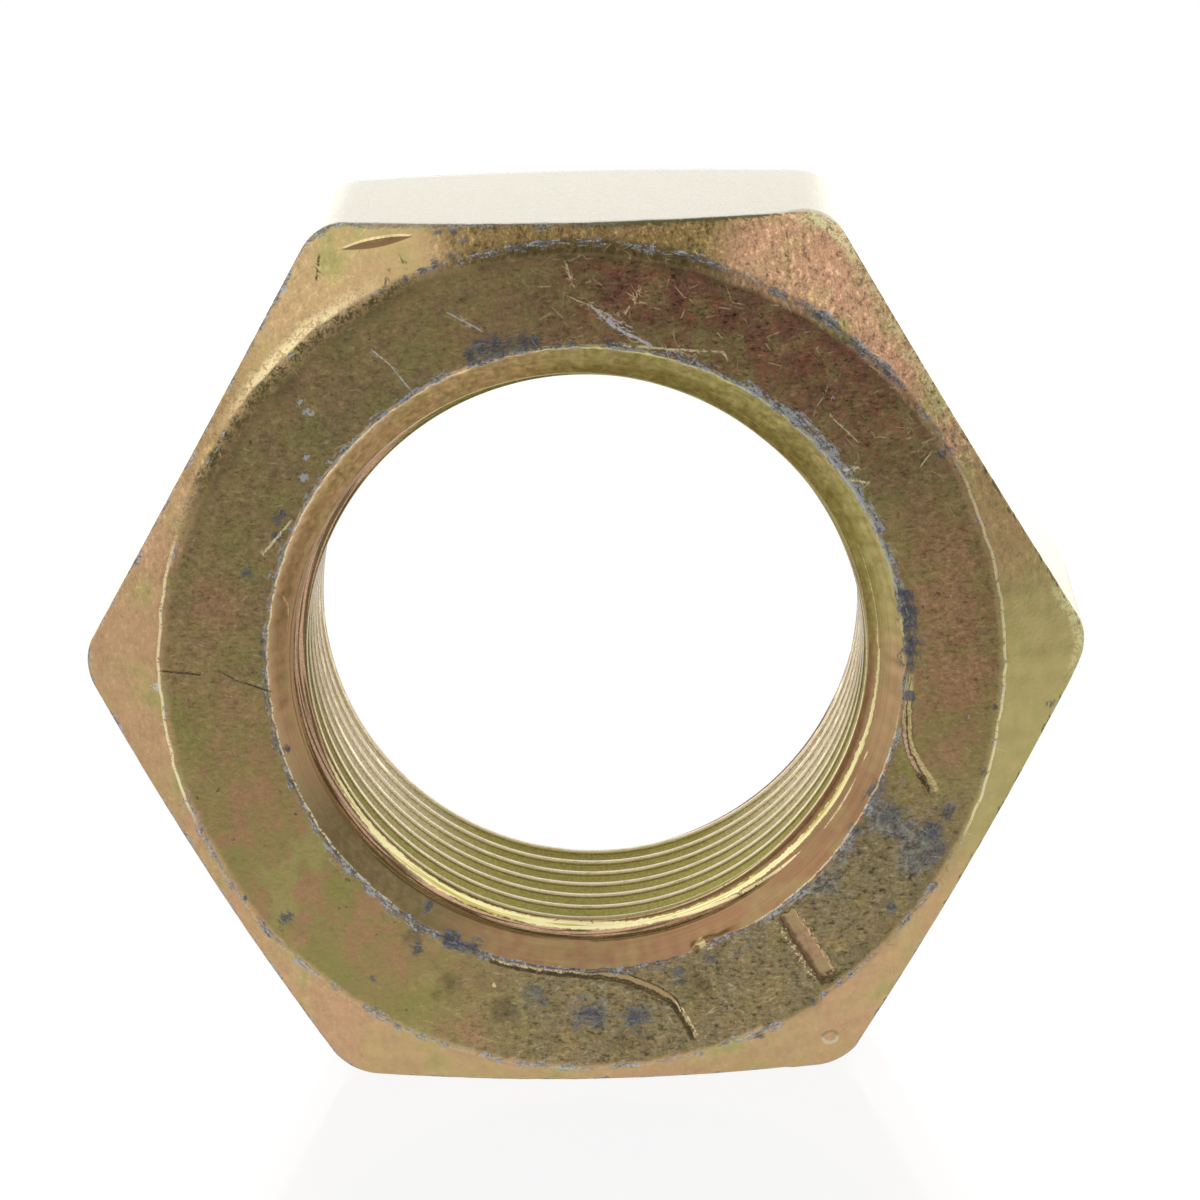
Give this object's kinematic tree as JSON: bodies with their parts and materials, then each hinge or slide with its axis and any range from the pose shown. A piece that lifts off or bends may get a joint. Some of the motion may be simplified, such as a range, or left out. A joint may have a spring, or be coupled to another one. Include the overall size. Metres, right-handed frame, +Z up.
{
  "type": "threaded nut",
  "caption": "Thin hexagon nut with a fine inch thread, chamfered and countersunk on both faces, yellow zinc plated and scuffed.",
  "frame": {"origin": "on the thread's axis, halfway between the two bearing faces", "axes": "+Y along the thread's axis, away from the face that carries the grade bar; +Z up, square to the flat on top; +X across two corners"},
  "size_m": [0.0536, 0.0184, 0.0472],
  "materials": {
    "plated_steel": "yellow passivated zinc plating over steel, satin, scuffed"
  },
  "bodies": {
    "root": {"hex_nut": "plated_steel"}
  },
  "joints": []
}
